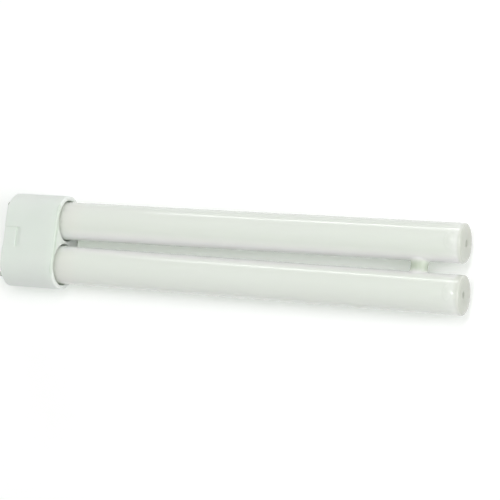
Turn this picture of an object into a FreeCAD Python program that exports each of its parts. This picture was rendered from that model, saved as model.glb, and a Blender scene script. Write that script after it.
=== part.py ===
import FreeCAD, Part
import math
import os

# A long twin tube fluorescent lamp with a moulded cap and four contact pins in one line.
# The origin is the centre of the cap's seating face. X runs along the lamp towards the far ends
# of the glass, Y runs across the two legs and Z stands out of the cap's broad face. Millimetres.

# Glass legs, which stand a little further apart at their far ends, the first a little shorter
leg_radius = 8.75
leg_gap_at_cap = 2.85
leg_gap_at_end = 4.8
tube_end_x = 219.7
leg_short_by = {1: 1.7, -1: 0.0}
shoulder_radius = 1.2

# Tips, where each far end was melted shut, the second one off the middle of its end
tip_radius = 1.6
tip_depth = 0.5
tip_offset_z = {1: 0.0, -1: 2.0}

# Bridge, a blown neck that joins the legs near their far ends
bridge_from_end = 21.5
bridge_waist_radius = 3.8
bridge_foot_radius = 4.6
bridge_blend_radius = 0.8

# Stem in the cap end of each leg, with the stub of its exhaust tube
leg_rim_radius = 0.8
stem_mouth_radius = 6.2
stem_floor_radius = 3.6
stem_depth = 9.0
exhaust_radius = 1.8
exhaust_tip_clearance = 1.2

# Cap housing
cap_height = 27.0
seat_clearance = 0.75
seat_wall = 2.0
seat_floor_x = 9.0
seat_floor_clearance = 0.1
pin_rim_radius = 0.6
mouth_rim_land = 0.9
seat_edge_radius = 0.4
pin_plate = 2.5
well_wall = 0.9
well_half_height = 5.5
well_corner_radius = 4.5

# Keyway, the hollow between the inner pins that takes the holder's tongue
key_width = 4.6
key_length = 13.0
key_depth = 7.5
key_corner_radius = 0.8
key_lead_in = 0.5

# Latch channel in each broad face, with a groove across it for the holder's spring
channel_width = 9.0
channel_length = 8.6
channel_depth = 0.6
channel_corner_radius = 0.8
groove_start_x = 6.2
groove_width = 2.0
groove_depth = 0.35

# Contact pins, tubes with a rounded closed tip, a thicker shank in the pin plate and a flange
# that sits on the boss inside the cap
pin_radius = 1.175
shank_step = 0.225
pin_length = 6.0
pin_pitch = 11.0
pin_tip_radius = 0.9
pin_bore_radius = 0.7
pin_tip_wall = 1.6
pin_hole_clearance = 0.01
boss_wall = 1.2
boss_height = 2.0
flange_step = 0.4
flange_thickness = 0.6

# Lead wires, from the stem floor into the bore of each pin
lead_radius = 0.3
lead_offset_at_stem = 2.7
lead_end_clearance = 0.02
lead_straight_at_stem = 5.5
lead_straight_at_pin = 2.5

# Basing cement between each leg and its seat
cement_start_x = 10.5
cement_below_mouth = 6.5

# Worked out from the values above
sides = (1, -1)
half_pitch_at_cap = leg_radius + leg_gap_at_cap / 2
splay_slope = (leg_gap_at_end - leg_gap_at_cap) / 2 / (tube_end_x - cap_height)
seat_radius = leg_radius + seat_clearance
section_radius = seat_radius + seat_wall
mouth_rim_radius = seat_wall - seat_edge_radius - mouth_rim_land
well_inner_y = key_width / 2 + well_wall
well_length = 2 * (pin_pitch - well_inner_y)
leg_start_x = seat_floor_x + seat_floor_clearance
stem_floor_x = leg_start_x + stem_depth
boss_top_x = pin_plate + boss_height
shank_radius = pin_radius + shank_step
flange_radius = shank_radius + flange_step
boss_radius = shank_radius + boss_wall
bore_end_x = pin_tip_wall - pin_length
reach = 2.0 * section_radius
along = FreeCAD.Vector(1, 0, 0)
across = FreeCAD.Vector(0, 1, 0)
upright = FreeCAD.Vector(0, 0, 1)


def point(x, y, z=0.0):
    return FreeCAD.Vector(x, y, z)


def rod(radius, start_x, end_x, y=0.0):
    """A cylinder along X."""
    return Part.makeCylinder(radius, end_x - start_x, point(start_x, y), along)


def block(start_x, end_x, width, low_z, high_z):
    """A box along X, centred on Y = 0."""
    return Part.makeBox(end_x - start_x, width, high_z - low_z, point(start_x, -width / 2, low_z))


def outline(start, *steps):
    """A closed face. A step of one point is a line to it, a step of two is an arc through the first."""
    edges = []
    here = start
    for step in steps + ((start,),):
        if len(step) == 1:
            edges.append(Part.LineSegment(here, step[0]).toShape())
        else:
            edges.append(Part.Arc(here, step[0], step[1]).toShape())
        here = step[-1]
    return Part.Face(Part.Wire(edges))


def on_circle(centre_x, centre_y, radius, degrees):
    angle = math.radians(degrees)
    return point(centre_x + radius * math.cos(angle), centre_y + radius * math.sin(angle))


def edges_at_x(shape, x, keep=lambda edge: True):
    """The edges that lie wholly in the plane at x."""
    near = 0.001
    return [
        e for e in shape.Edges
        if abs(e.BoundBox.XMin - x) < near and abs(e.BoundBox.XMax - x) < near and keep(e)
    ]


def half_pitch(x):
    """Distance from the lamp's middle to a leg's axis at x."""
    return half_pitch_at_cap + splay_slope * (x - cap_height)


def on_leg(shape, side):
    """Turns a shape made about the X axis to a leg's slope and moves it onto that leg."""
    placed = shape.copy()
    placed.rotate(point(cap_height, 0), upright, side * math.degrees(math.atan(splay_slope)))
    placed.translate(point(0, side * half_pitch_at_cap))
    return placed


def leg_profile(end_x):
    """Half section of a leg: far end, wall, rim, the funnel of the stem and the exhaust stub."""
    end_flat = leg_radius - shoulder_radius
    rim_flat = leg_radius - leg_rim_radius
    stub_x = pin_plate + exhaust_tip_clearance + exhaust_radius
    return outline(
        point(end_x, 0),
        (point(end_x, end_flat),),
        (on_circle(end_x - shoulder_radius, end_flat, shoulder_radius, 45),
         point(end_x - shoulder_radius, leg_radius)),
        (point(leg_start_x + leg_rim_radius, leg_radius),),
        (on_circle(leg_start_x + leg_rim_radius, rim_flat, leg_rim_radius, 135),
         point(leg_start_x, rim_flat)),
        (point(leg_start_x, stem_mouth_radius),),
        (point(stem_floor_x, stem_floor_radius),),
        (point(stem_floor_x, exhaust_radius),),
        (point(stub_x, exhaust_radius),),
        (on_circle(stub_x, 0, exhaust_radius, 135),
         point(stub_x - exhaust_radius, 0)),
    )


def leg(side):
    """One leg, with the shallow dimple of its tip."""
    end_x = tube_end_x - leg_short_by[side]
    glass = leg_profile(end_x).revolve(point(0, 0), along, 360)
    ball_radius = (tip_radius ** 2 + tip_depth ** 2) / (2 * tip_depth)
    ball_x = end_x - tip_depth + ball_radius
    dimple = Part.makeSphere(ball_radius, point(ball_x, 0, tip_offset_z[side]))
    return on_leg(glass.cut(dimple), side)


def bridge(x):
    """The neck between the legs, waisted in the middle and running on to both leg axes."""
    root_y = half_pitch(x)
    foot_y = root_y - math.sqrt(leg_radius ** 2 - bridge_foot_radius ** 2)
    foot_x = x + bridge_foot_radius
    section = outline(
        point(x, -root_y),
        (point(foot_x, -root_y),),
        (point(foot_x, -foot_y),),
        (point(x + bridge_waist_radius, 0), point(foot_x, foot_y)),
        (point(foot_x, root_y),),
        (point(x, root_y),),
    )
    return section.revolve(point(x, 0), across, 360)


def discharge_tube():
    """Both legs and the bridge, one sealed glass vessel, with the weld blended into the legs."""
    x = tube_end_x - bridge_from_end
    glass = leg(1).fuse([leg(-1), bridge(x)]).removeSplitter()
    span = bridge_foot_radius + bridge_blend_radius
    weld = [
        e for e in glass.Edges
        if abs(e.BoundBox.XMax - x) < span and abs(e.BoundBox.XMin - x) < span
        and e.BoundBox.YLength < leg_radius and e.BoundBox.ZLength > bridge_waist_radius
    ]
    return glass.makeFillet(bridge_blend_radius, weld)


def cap_blank():
    """The outer form: two half rounds about the legs joined by flat broad faces, rims rounded."""
    c = half_pitch_at_cap
    r = section_radius
    section = outline(
        point(0, c, -r),
        (point(0, c + r, 0), point(0, c, r)),
        (point(0, -c, r),),
        (point(0, -c - r, 0), point(0, -c, -r)),
    )
    blank = section.extrude(point(cap_height, 0))
    blank = blank.makeFillet(pin_rim_radius, edges_at_x(blank, 0))
    return blank.makeFillet(mouth_rim_radius, edges_at_x(blank, cap_height))


def seat_and_well(side):
    """The round seat of a leg and, below its floor, the flatter well over its two pins."""
    seat = rod(seat_radius, seat_floor_x, cap_height + reach, side * half_pitch_at_cap)
    well = block(pin_plate, seat_floor_x + seat_wall, well_length, -well_half_height, well_half_height)
    corners = [e for e in well.Edges if e.BoundBox.XLength > pin_plate]
    well = well.makeFillet(well_corner_radius, corners)
    well.translate(point(0, side * pin_pitch))
    return seat.fuse(well)


def keyway():
    """Rounded slot in the seating face."""
    slot = block(-reach, key_depth, key_width, -key_length / 2, key_length / 2)
    corners = [e for e in slot.Edges if e.BoundBox.XLength > reach]
    return slot.makeFillet(key_corner_radius, corners)


def latch_channel(face_sign):
    """Shallow channel from the seating face up one broad face, with the groove across it."""
    floor_z = section_radius - channel_depth
    channel = block(-reach, channel_length, channel_width, floor_z, floor_z + reach)
    inner = [e for e in channel.Edges if e.BoundBox.XMin > 0 and e.BoundBox.ZLength > channel_depth]
    channel = channel.makeFillet(channel_corner_radius, inner)
    groove_end_x = groove_start_x + groove_width
    groove_floor_z = floor_z - groove_depth
    groove = block(groove_start_x, groove_end_x, channel_width, groove_floor_z, section_radius)
    both = channel.fuse(groove)
    if face_sign < 0:
        both.rotate(point(0, 0), along, 180)
    return both


def pin_places():
    """The Y of each contact pin, evenly spaced and centred."""
    count = 4
    return [pin_pitch * ((count - 1) / 2 - k) for k in range(count)]


def cap_housing():
    cap = cap_blank()
    bosses = [rod(boss_radius, pin_plate / 2, boss_top_x, y) for y in pin_places()]
    cap = cap.cut([seat_and_well(side) for side in sides])
    cap = cap.fuse(bosses)
    holes = [rod(shank_radius + pin_hole_clearance, -reach, boss_top_x + reach, y) for y in pin_places()]
    channels = [latch_channel(sign) for sign in sides]
    cap = cap.cut(holes + channels + [keyway()]).removeSplitter()
    inside_rim = seat_radius + seat_edge_radius
    seat_edges = edges_at_x(
        cap, cap_height,
        lambda e: e.Closed and max(e.BoundBox.YLength, e.BoundBox.ZLength) < 2 * inside_rim,
    )
    cap = cap.makeFillet(seat_edge_radius, seat_edges)
    key_edges = edges_at_x(
        cap, 0,
        lambda e: abs(e.CenterOfMass.y) < key_width and abs(e.CenterOfMass.z) <= key_length / 2,
    )
    return cap.makeChamfer(key_lead_in, key_edges)


def contact_pin(y):
    """A pin with its rounded tip out of the cap, its shank in the plate and its flange on the boss."""
    tip_x = -pin_length
    tail_x = boss_top_x + flange_thickness
    tip_flat = pin_radius - pin_tip_radius
    section = outline(
        point(tip_x, 0),
        (point(tip_x, tip_flat),),
        (on_circle(tip_x + pin_tip_radius, tip_flat, pin_tip_radius, 135),
         point(tip_x + pin_tip_radius, pin_radius)),
        (point(0, pin_radius),),
        (point(0, shank_radius),),
        (point(boss_top_x, shank_radius),),
        (point(boss_top_x, flange_radius),),
        (point(tail_x, flange_radius),),
        (point(tail_x, pin_bore_radius),),
        (point(bore_end_x, pin_bore_radius),),
        (point(bore_end_x, 0),),
    )
    pin = section.revolve(point(0, 0), along, 360)
    pin.translate(point(0, y))
    return pin


def round_wire(points, radius):
    """A wire along straight runs joined by tangent arcs, each as large as its two runs allow."""
    share = 0.45
    edges = []
    here = points[0]
    for before, corner, after in zip(points, points[1:], points[2:]):
        run_in = corner - before
        run_out = after - corner
        trim = share * min(run_in.Length, run_out.Length)
        run_in.normalize()
        run_out.normalize()
        turn = run_in.getAngle(run_out)
        bend = trim / math.tan(turn / 2)
        start = corner - run_in * trim
        end = corner + run_out * trim
        to_centre = run_out - run_in
        to_centre.normalize()
        middle = corner + to_centre * (math.hypot(bend, trim) - bend)
        edges.append(Part.LineSegment(here, start).toShape())
        edges.append(Part.Arc(start, middle, end).toShape())
        here = end
    edges.append(Part.LineSegment(here, points[-1]).toShape())
    ring = Part.Wire(Part.Circle(points[0], points[1] - points[0], radius).toShape())
    return Part.Wire(edges).makePipeShell([ring], True, False)


def lead_wire(y):
    """From the stem floor straight out of the leg, over to the pin's axis and into its bore."""
    side = 1 if y > 0 else -1
    leg_y = side * half_pitch_at_cap
    stem_y = leg_y + math.copysign(lead_offset_at_stem, y - leg_y)
    tail_x = boss_top_x + flange_thickness
    return round_wire(
        [
            point(stem_floor_x - lead_end_clearance, stem_y),
            point(stem_floor_x - lead_straight_at_stem, stem_y),
            point(tail_x + lead_straight_at_pin, y),
            point(bore_end_x, y),
        ],
        lead_radius,
    )


def cement_ring(side):
    """Fills the seat round the leg, out of sight below the mouth."""
    end_x = cap_height - cement_below_mouth
    ring = rod(seat_radius, cement_start_x, end_x, side * half_pitch_at_cap)
    return ring.cut(on_leg(rod(leg_radius, 0, cap_height + reach), side))


pieces = {"discharge_tube": discharge_tube(), "cap_housing": cap_housing()}
for number, pin_y in enumerate(pin_places(), start=1):
    pieces[f"contact_pin_{number}"] = contact_pin(pin_y)
    pieces[f"lead_wire_{number}"] = lead_wire(pin_y)
for number, side in enumerate(sides, start=1):
    pieces[f"cement_ring_{number}"] = cement_ring(side)

os.makedirs("parts", exist_ok=True)
for name, shape in pieces.items():
    shape.exportStep(f"parts/{name}.step")
    print(name, "valid", shape.isValid(), "solids", len(shape.Solids), "volume", round(shape.Volume, 2))
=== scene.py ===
import bpy
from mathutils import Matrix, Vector


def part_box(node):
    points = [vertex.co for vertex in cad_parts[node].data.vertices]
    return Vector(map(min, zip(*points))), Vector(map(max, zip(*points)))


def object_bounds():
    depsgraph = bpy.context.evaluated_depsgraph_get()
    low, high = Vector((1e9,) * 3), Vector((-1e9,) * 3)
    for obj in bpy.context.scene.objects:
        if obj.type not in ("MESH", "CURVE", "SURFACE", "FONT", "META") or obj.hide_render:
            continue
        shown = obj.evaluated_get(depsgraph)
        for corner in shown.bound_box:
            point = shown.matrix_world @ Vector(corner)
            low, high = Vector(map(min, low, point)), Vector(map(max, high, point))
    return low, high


# A long twin tube fluorescent lamp, lying on its broad face. X runs from the pins to the far ends
# of the glass, Y from the lower leg to the upper one, as the camera sees them, and Z stands up.
# Lengths are in metres, and colours are screen colours of 0 to 255 where nothing else is said.
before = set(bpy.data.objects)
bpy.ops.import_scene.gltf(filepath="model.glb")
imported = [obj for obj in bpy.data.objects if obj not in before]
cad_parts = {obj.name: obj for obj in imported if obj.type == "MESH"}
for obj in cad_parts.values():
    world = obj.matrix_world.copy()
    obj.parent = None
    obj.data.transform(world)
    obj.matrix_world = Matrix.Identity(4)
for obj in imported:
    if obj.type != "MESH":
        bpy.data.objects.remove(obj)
cad_low, cad_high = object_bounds()


# Discharge tube. One sealed vessel of soda glass: two drawn legs, closed flat at their far ends and
# joined by a blown bridge. A white powder coat lies on the inside of the clear wall, thinner on the
# bridge, round the flat ends and at their tips, where the glass was melted shut. The colour also has
# painted shade on the shoulders and flat ends, and painted light where the legs face each other.
millimetre = 0.001
tube_low, tube_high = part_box("discharge_tube")
cap_low, cap_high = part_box("cap_housing")
tube_radius = (tube_high.z - tube_low.z) / 2
tube_axis_y_at_end = tube_high.y - tube_radius
tube_end_x = tube_high.x
upper_leg_end_x = tube_end_x - 1.7 * millimetre
leg_ends = (
    Vector((upper_leg_end_x, tube_axis_y_at_end, 0.0)),
    Vector((tube_end_x, -tube_axis_y_at_end, 0.0)),
)
tip_rises = (0.0, 2.0 * millimetre)
bridge_x = tube_end_x - 21.5 * millimetre
cathode_reach = 14.0 * millimetre

coat_colour = (234, 240, 231)
coat_shade_colour = (231, 237, 227)
# painted light: the paler coat where the legs face each other
painted_gap_light_tint = (250, 253, 247)
cathode_tint = (234, 237, 228)
# partly a thinner coat, partly painted shade on the shoulders and flat ends
shoulder_coat_and_painted_shade_tint = (208, 213, 201)
end_face_coat_and_painted_shade_tint = (190, 195, 182)
tip_tint = (167, 173, 159)
bridge_tint = (198, 209, 190)

glass_clear_haze = 0.10
glass_dull_haze = 0.22
bridge_haze = 0.04
flamed_haze = 0.05
swelling_haze = 0.68
swelling_back = 5.2 * millimetre
swelling_reach = 2.8 * millimetre
swelling_height = 0.4 * millimetre
ripple_height = 0.25 * millimetre
drawn_along = (0.35, 1.0, 1.0)
coat_light_depth = 13.0 * millimetre


def new_node(tree, kind, **settings):
    """A node of this kind in a material, group or world, with its settings."""
    node = tree.nodes.new(kind)
    for name, value in settings.items():
        setattr(node, name, value)
    return node


def effect_group(name, inputs, outputs):
    """A node group that takes a place and these inputs, with its two end nodes and nothing between."""
    group = bpy.data.node_groups.new(name, "ShaderNodeTree")
    group.interface.new_socket("Place", in_out="INPUT", socket_type="NodeSocketVector")
    for label, value in inputs.items():
        kind = "NodeSocketVector" if isinstance(value, tuple) else "NodeSocketFloat"
        socket = group.interface.new_socket(label, in_out="INPUT", socket_type=kind)
        socket.default_value = value
    for label in outputs:
        group.interface.new_socket(label, in_out="OUTPUT", socket_type="NodeSocketFloat")
    return group, new_node(group, "NodeGroupInput"), new_node(group, "NodeGroupOutput")


def unevenness_group():
    """Slow and fine unevenness of a surface, each from 0 to 1 about a middle of a half. A squeeze
    over 1 packs it closer along an axis, and one under 1 draws it out."""
    inputs = {"Slow per metre": 10.0, "Fine per metre": 400.0, "Squeeze": (1.0, 1.0, 1.0)}
    group, given, out = effect_group("unevenness", inputs, ("Slow", "Fine"))
    link = group.links.new
    scaled = new_node(group, "ShaderNodeVectorMath", operation="MULTIPLY")
    link(given.outputs["Place"], scaled.inputs[0])
    link(given.outputs["Squeeze"], scaled.inputs[1])
    for label, detail in (("Slow", 2.0), ("Fine", 3.0)):
        noise = new_node(group, "ShaderNodeTexNoise")
        noise.inputs["Detail"].default_value = detail
        link(scaled.outputs["Vector"], noise.inputs["Vector"])
        link(given.outputs[label + " per metre"], noise.inputs["Scale"])
        link(noise.outputs["Fac"], out.inputs[label])
    return group


def spot_group():
    """A mask of 1 up to an inner distance from a point, which fades to 0 at an outer distance. A
    flatness over 1 thins it along an axis, one under 1 lengthens it and 0 leaves the axis out."""
    inputs = {"Centre": (0.0, 0.0, 0.0), "Flatness": (1.0, 1.0, 1.0), "Inner": 0.001, "Outer": 0.002}
    group, given, out = effect_group("spot", inputs, ("Mask",))
    link = group.links.new
    offset = new_node(group, "ShaderNodeVectorMath", operation="SUBTRACT")
    scaled = new_node(group, "ShaderNodeVectorMath", operation="MULTIPLY")
    distance = new_node(group, "ShaderNodeVectorMath", operation="LENGTH")
    fade = new_node(group, "ShaderNodeMapRange", interpolation_type="SMOOTHSTEP")
    fade.inputs["To Min"].default_value = 1.0
    fade.inputs["To Max"].default_value = 0.0
    link(given.outputs["Place"], offset.inputs[0])
    link(given.outputs["Centre"], offset.inputs[1])
    link(offset.outputs["Vector"], scaled.inputs[0])
    link(given.outputs["Flatness"], scaled.inputs[1])
    link(scaled.outputs["Vector"], distance.inputs[0])
    link(distance.outputs["Value"], fade.inputs["Value"])
    link(given.outputs["Inner"], fade.inputs["From Min"])
    link(given.outputs["Outer"], fade.inputs["From Max"])
    link(fade.outputs["Result"], out.inputs["Mask"])
    return group


unevenness = unevenness_group()
spot = spot_group()


def linear(colour):
    """A screen colour as the linear colour that a shader takes."""
    shares = [c / 255 for c in colour]
    return tuple(s / 12.92 if s <= 0.04045 else ((s + 0.055) / 1.055) ** 2.4 for s in shares) + (1.0,)


class Finish:
    """A material under construction: its nodes, its Principled shader and short ways to set them."""

    def __init__(self, name):
        self.material = bpy.data.materials.new(name)
        self.material.use_nodes = True
        self.tree = self.material.node_tree
        self.shader = self.tree.nodes["Principled BSDF"]

    def feed(self, socket, value):
        """Links a socket to what varies over the surface, or sets it to a plain value."""
        if isinstance(value, bpy.types.NodeSocket):
            self.tree.links.new(value, socket)
        else:
            socket.default_value = value

    def give(self, label, value):
        """Feeds one of the shader's own sockets."""
        self.feed(self.shader.inputs[label], value)

    def effect(self, group, **values):
        """A shared effect with this finish's own values, at the surface's place on the lamp."""
        node = new_node(self.tree, "ShaderNodeGroup", node_tree=group)
        for name, value in values.items():
            node.inputs[name.replace("_", " ").capitalize()].default_value = value
        self.feed(node.inputs["Place"], new_node(self.tree, "ShaderNodeTexCoord").outputs["Object"])
        return node

    def mask_about(self, centre, inner, outer, flatness=(1.0, 1.0, 1.0)):
        """A soft mask about a point of the lamp."""
        return self.effect(spot, centre=centre, inner=inner, outer=outer, flatness=flatness).outputs["Mask"]

    def tinted(self, base, mask, colour):
        """The base colour with another laid over it where the mask is 1."""
        mix = new_node(self.tree, "ShaderNodeMix", data_type="RGBA", clamp_factor=True)
        self.feed(mix.inputs["Factor"], mask)
        self.feed(mix.inputs["A"], linear(base) if isinstance(base, tuple) else base)
        self.feed(mix.inputs["B"], linear(colour))
        return mix.outputs["Result"]

    def ranged(self, share, at_zero, at_one):
        """A value that runs from one level to another as the share goes from 0 to 1."""
        ramp = new_node(self.tree, "ShaderNodeMapRange")
        self.feed(ramp.inputs["Value"], share)
        self.feed(ramp.inputs["To Min"], at_zero)
        self.feed(ramp.inputs["To Max"], at_one)
        return ramp.outputs["Result"]

    def bumped(self, height, distance):
        """Raises the surface by the distance where the height is 1."""
        bump = new_node(self.tree, "ShaderNodeBump")
        self.feed(bump.inputs["Distance"], distance)
        self.feed(bump.inputs["Height"], height)
        self.give("Normal", bump.outputs["Normal"])

    def let_light_in(self, depth):
        """Lets light spread under the surface, as it does in milk glass and pale plastic."""
        self.give("Subsurface Weight", 1.0)
        self.give("Subsurface Radius", (1.0, 1.0, 1.0))
        self.give("Subsurface Scale", depth)

    def dress(self, *node_names):
        """Puts the finish on pieces of the frame, in place of the plain one they came with."""
        for name in node_names:
            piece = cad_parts[name]
            piece.data.materials.clear()
            piece.data.materials.append(self.material)


def coat_tints(glass, ripple, neck):
    """The coat's white, tinted where it thins, with painted shade at the ends and painted light between the
    legs.
    """
    colour = glass.tinted(coat_shade_colour, ripple, coat_colour)
    # the coat thins towards the cathodes, which sit just inside the cap
    for leg_end in leg_ends:
        near_cap = glass.mask_about(
            (cap_high.x, leg_end.y, 0.0), inner=2.0 * millimetre, outer=cathode_reach,
            flatness=(1.0, 0.2, 0.2),
        )
        colour = glass.tinted(colour, near_cap, cathode_tint)
    # painted light: where the legs face each other, the coat is painted paler, for light that passes
    # through one coat and falls on the other
    facing = glass.mask_about(
        (0.0, 0.0, 0.0), inner=2.2 * millimetre, outer=6.5 * millimetre, flatness=(0.0, 1.0, 0.0),
    )
    colour = glass.tinted(colour, facing, painted_gap_light_tint)
    # the coat is thinner at the shoulders, the flat ends, their melted tips and the bridge; the darker
    # shoulders and flat ends are also painted shade
    for leg_end, tip_rise in zip(leg_ends, tip_rises):
        shoulder = glass.mask_about(
            leg_end, inner=1.2 * millimetre, outer=3.6 * millimetre, flatness=(1.5, 0.1, 0.1),
        )
        colour = glass.tinted(colour, shoulder, shoulder_coat_and_painted_shade_tint)
        end_face = glass.mask_about(
            leg_end, inner=tube_radius - 0.5 * millimetre, outer=tube_radius + 0.5 * millimetre,
            flatness=(6.0, 1.0, 1.0),
        )
        colour = glass.tinted(colour, end_face, end_face_coat_and_painted_shade_tint)
        tip_place = (leg_end.x, leg_end.y, tip_rise)
        tip = glass.mask_about(tip_place, inner=0.6 * millimetre, outer=2.0 * millimetre)
        colour = glass.tinted(colour, tip, tip_tint)
    return glass.tinted(colour, neck, bridge_tint)


def flame_work(glass, ripple, neck):
    """The glass's haze and height: faintly hazy and rippled where it was drawn, flame polished at
    the ends and where the bridge was blown."""
    haze = glass.ranged(ripple, at_zero=glass_clear_haze, at_one=glass_dull_haze)
    haze = glass.ranged(neck, at_zero=haze, at_one=bridge_haze)
    height = ripple
    for leg_end in leg_ends:
        flamed = glass.mask_about(
            leg_end, inner=3.0 * millimetre, outer=6.0 * millimetre, flatness=(1.0, 0.15, 0.15),
        )
        haze = glass.ranged(flamed, at_zero=haze, at_one=flamed_haze)
        # the flame left a slight, duller swelling on top of each leg, just before its flat end
        swelling = glass.mask_about(
            (leg_end.x - swelling_back, leg_end.y, 0.0), inner=0.0, outer=swelling_reach,
            flatness=(1.0, 0.55, 0.0),
        )
        haze = glass.ranged(swelling, at_zero=haze, at_one=swelling_haze)
        raised = new_node(glass.tree, "ShaderNodeMath", operation="MULTIPLY_ADD")
        glass.feed(raised.inputs[0], swelling)
        glass.feed(raised.inputs[1], swelling_height / ripple_height)
        glass.feed(raised.inputs[2], height)
        height = raised.outputs["Value"]
    return haze, height


def coated_glass():
    glass = Finish("coated_glass")
    ripple = glass.effect(unevenness, slow_per_metre=35.0, squeeze=drawn_along).outputs["Slow"]
    neck = glass.mask_about((bridge_x, 0.0, 0.0), inner=3.6 * millimetre, outer=5.4 * millimetre)
    haze, height = flame_work(glass, ripple, neck)
    glass.give("Base Color", coat_tints(glass, ripple, neck))
    glass.give("Roughness", haze)
    glass.give("IOR", 1.5)
    glass.let_light_in(coat_light_depth)
    glass.bumped(height, ripple_height)
    return glass


coated_glass().dress("discharge_tube")


# Lead wires. Four thin, bare wires of a nickel iron alloy, melted into the glass stems. They run
# down through the cap into the hollow pins, which hold their ends.
lead_colour = (200, 190, 176)
lead_shade_colour = (178, 170, 160)
lead_ripple_height = 0.01 * millimetre


def lead_metal():
    metal = Finish("lead_metal")
    wear = metal.effect(unevenness, slow_per_metre=150.0, fine_per_metre=3000.0)
    metal.give("Base Color", metal.tinted(lead_shade_colour, wear.outputs["Slow"], lead_colour))
    metal.give("Metallic", 1.0)
    metal.give("Roughness", 0.35)
    metal.bumped(wear.outputs["Fine"], lead_ripple_height)
    return metal


lead_metal().dress(*[f"lead_wire_{number}" for number in (1, 2, 3, 4)])


# Cap housing. One moulding of white heat proof plastic with a satin, faintly grained skin. The
# glass is cemented into its two round seats and the pins are pressed into its plate.
plastic_colour = (239, 248, 238)
plastic_shade_colour = (235, 245, 235)
# painted shade on the mouth's rounded edge
mouth_edge_painted_shade_tint = (222, 232, 221)
mouth_edge_inset = 0.8 * millimetre
# painted light on the web between the seats
web_painted_light_tint = (240, 255, 240)
skin_grain_height = 0.02 * millimetre
plastic_light_depth = 1.8 * millimetre


def cap_plastic():
    plastic = Finish("cap_plastic")
    skin = plastic.effect(unevenness, slow_per_metre=45.0, fine_per_metre=2600.0)
    colour = plastic.tinted(plastic_shade_colour, skin.outputs["Slow"], plastic_colour)
    # painted shade: the rounded edge round the mouth is painted a shade darker than the faces, against the
    # light it catches
    for edge_z in (cap_low.z + mouth_edge_inset, cap_high.z - mouth_edge_inset):
        mouth_edge = plastic.mask_about(
            (cap_high.x, 0.0, edge_z), inner=0.8 * millimetre, outer=1.5 * millimetre,
            flatness=(1.0, 0.0, 1.0),
        )
        colour = plastic.tinted(colour, mouth_edge, mouth_edge_painted_shade_tint)
    # painted light: the web between the seats is painted paler, for light that runs down between the legs
    web = plastic.mask_about(
        (cap_high.x, 0.0, 0.0), inner=3.0 * millimetre, outer=4.6 * millimetre, flatness=(3.0, 1.0, 0.4),
    )
    plastic.give("Base Color", plastic.tinted(colour, web, web_painted_light_tint))
    plastic.give("Roughness", plastic.ranged(skin.outputs["Slow"], at_zero=0.36, at_one=0.52))
    plastic.let_light_in(plastic_light_depth)
    plastic.bumped(skin.outputs["Fine"], skin_grain_height)
    return plastic


cap_plastic().dress("cap_housing")


# Contact pins. Four hollow brass tubes, drawn with a closed round tip, nickel plated and pressed
# into the cap's plate. The drawing leaves fine rings round them.
pin_colour = (204, 209, 199)
pin_shade_colour = (182, 187, 178)
rings_round = (4.0, 1.0, 1.0)
ring_height = 0.008 * millimetre


def plated_pin():
    pin = Finish("plated_pin")
    wear = pin.effect(unevenness, slow_per_metre=260.0, fine_per_metre=2400.0, squeeze=rings_round)
    pin.give("Base Color", pin.tinted(pin_shade_colour, wear.outputs["Slow"], pin_colour))
    pin.give("Metallic", 1.0)
    pin.give("Roughness", pin.ranged(wear.outputs["Fine"], at_zero=0.22, at_one=0.42))
    pin.bumped(wear.outputs["Fine"], ring_height)
    return pin


plated_pin().dress(*[f"contact_pin_{number}" for number in (1, 2, 3, 4)])


# Basing cement. A grey, grainy filler, poured in wet between each leg and its seat and baked hard
# there, so that the cap can't leave the glass.
cement_colour = (186, 178, 160)
cement_shade_colour = (150, 142, 128)
cement_grain_height = 0.15 * millimetre


def basing_cement():
    cement = Finish("basing_cement")
    grain = cement.effect(unevenness, slow_per_metre=220.0, fine_per_metre=1800.0)
    cement.give("Base Color", cement.tinted(cement_shade_colour, grain.outputs["Slow"], cement_colour))
    cement.give("Roughness", 0.9)
    cement.bumped(grain.outputs["Fine"], cement_grain_height)
    return cement


basing_cement().dress("cement_ring_1", "cement_ring_2")


# Floor. A plain pale sheet, wide enough to fill every view, that takes the lamp's shadow. The camera
# sees it with some plain white added, so that the ground is white and the shadow stays light. The
# sheet is faintly pink and the added white, a linear colour, faintly green: together they are neutral.
floor_colour = (244, 239, 246)
added_white = (0.2407, 0.29, 0.2262, 1.0)
floor_reach = 3.0


def plainly_seen(tree):
    """1 where the camera looks, straight or by way of a glossy or clear surface, and 0 elsewhere."""
    ray = new_node(tree, "ShaderNodeLightPath")
    seen = ray.outputs["Is Camera Ray"]
    for label in ("Is Glossy Ray", "Is Transmission Ray"):
        either = new_node(tree, "ShaderNodeMath", operation="MAXIMUM")
        tree.links.new(seen, either.inputs[0])
        tree.links.new(ray.outputs[label], either.inputs[1])
        seen = either.outputs["Value"]
    return seen


sheet = Finish("floor_white")
sheet.give("Base Color", linear(floor_colour))
sheet.give("Roughness", 0.9)
sheet.give("Specular IOR Level", 0.0)
sheet.give("Emission Color", added_white)
sheet.give("Emission Strength", plainly_seen(sheet.tree))
bpy.ops.mesh.primitive_plane_add(size=2 * floor_reach, location=(cad_high.x / 2, 0.0, cad_low.z))
floor = bpy.context.object
floor.name = "floor"
floor.data.materials.append(sheet.material)


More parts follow.
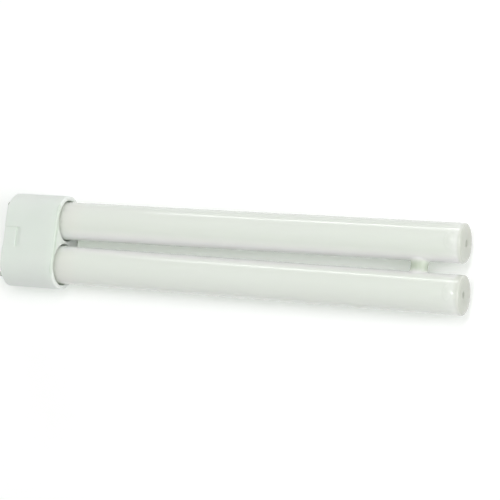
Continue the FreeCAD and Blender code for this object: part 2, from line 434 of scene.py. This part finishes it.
# Studio light. A white tent, brightest overhead and a little brighter beyond the far end and the lower
# leg, two panels low behind the upper leg, which draw the bright line along each tube, a strip overhead
# and a large panel beyond the far end, which shines down between the legs.
tent_at_horizon = 0.303
tent_gain_along_each_axis = (0.08, -0.08, 0.32)
world = bpy.data.worlds.new("tent")
bpy.context.scene.world = world
world.use_nodes = True
tent = world.node_tree
surround = tent.nodes["Background"]
surround.inputs["Color"].default_value = (1.0, 1.0, 1.0, 1.0)
heading = new_node(tent, "ShaderNodeTexCoord")
gain = new_node(tent, "ShaderNodeVectorMath", operation="DOT_PRODUCT")
gain.inputs[1].default_value = tent_gain_along_each_axis
lit = new_node(tent, "ShaderNodeMath", operation="ADD")
lit.inputs[1].default_value = tent_at_horizon
strength = new_node(tent, "ShaderNodeMix", data_type="FLOAT")
strength.inputs["B"].default_value = 1.0
tent.links.new(heading.outputs["Generated"], gain.inputs[0])
tent.links.new(gain.outputs["Value"], lit.inputs[0])
tent.links.new(lit.outputs["Value"], strength.inputs["A"])
tent.links.new(plainly_seen(tent), strength.inputs["Factor"])
tent.links.new(strength.outputs["Result"], surround.inputs["Strength"])


def panel(name, centre, target, width, height, watts):
    """A flat soft light that faces the target."""
    light = bpy.data.lights.new(name, "AREA")
    light.shape = "RECTANGLE"
    light.size = width
    light.size_y = height
    light.energy = watts
    stand = bpy.data.objects.new(name, light)
    bpy.context.scene.collection.objects.link(stand)
    stand.location = centre
    stand.rotation_euler = (Vector(target) - Vector(centre)).to_track_quat("-Z", "Y").to_euler()


lamp_middle = (tube_end_x / 2, 0.0, 0.0)
lamp_far_end = (tube_end_x, 0.0, 0.0)
cap_mouth = (cap_high.x, 0.0, 0.0)
panel("line_light", (-0.17, 0.80, 0.22), lamp_middle, width=0.27, height=0.12, watts=0.62)
panel("line_end_light", (-0.075, 0.80, 0.36), lamp_middle, width=0.05, height=0.16, watts=0.05)
panel("overhead_light", (0.364, 0.24, 1.165), lamp_far_end, width=0.06, height=0.70, watts=3.2)
panel("gap_light", (1.69, 0.0, 0.96), cap_mouth, width=0.80, height=1.95, watts=11.9)


# Camera. It stands above the lamp and beyond its far end and looks back and down on it. Its place,
# its turn in radians and its focal length come from a fit to the lamp's outlines in the photograph.
camera_place = (0.4745, -0.108065, 0.821677)
camera_turn = (0.172177, 0.390962, 0.127132)
focal_pixels = 2036.5
picture_pixels = 500
camera_data = bpy.data.cameras.new("camera")
camera_data.lens = camera_data.sensor_width * focal_pixels / picture_pixels
camera = bpy.data.objects.new("camera", camera_data)
bpy.context.scene.collection.objects.link(camera)
camera.location = camera_place
camera.rotation_euler = camera_turn
bpy.context.scene.camera = camera
bpy.context.scene.view_settings.view_transform = "Standard"
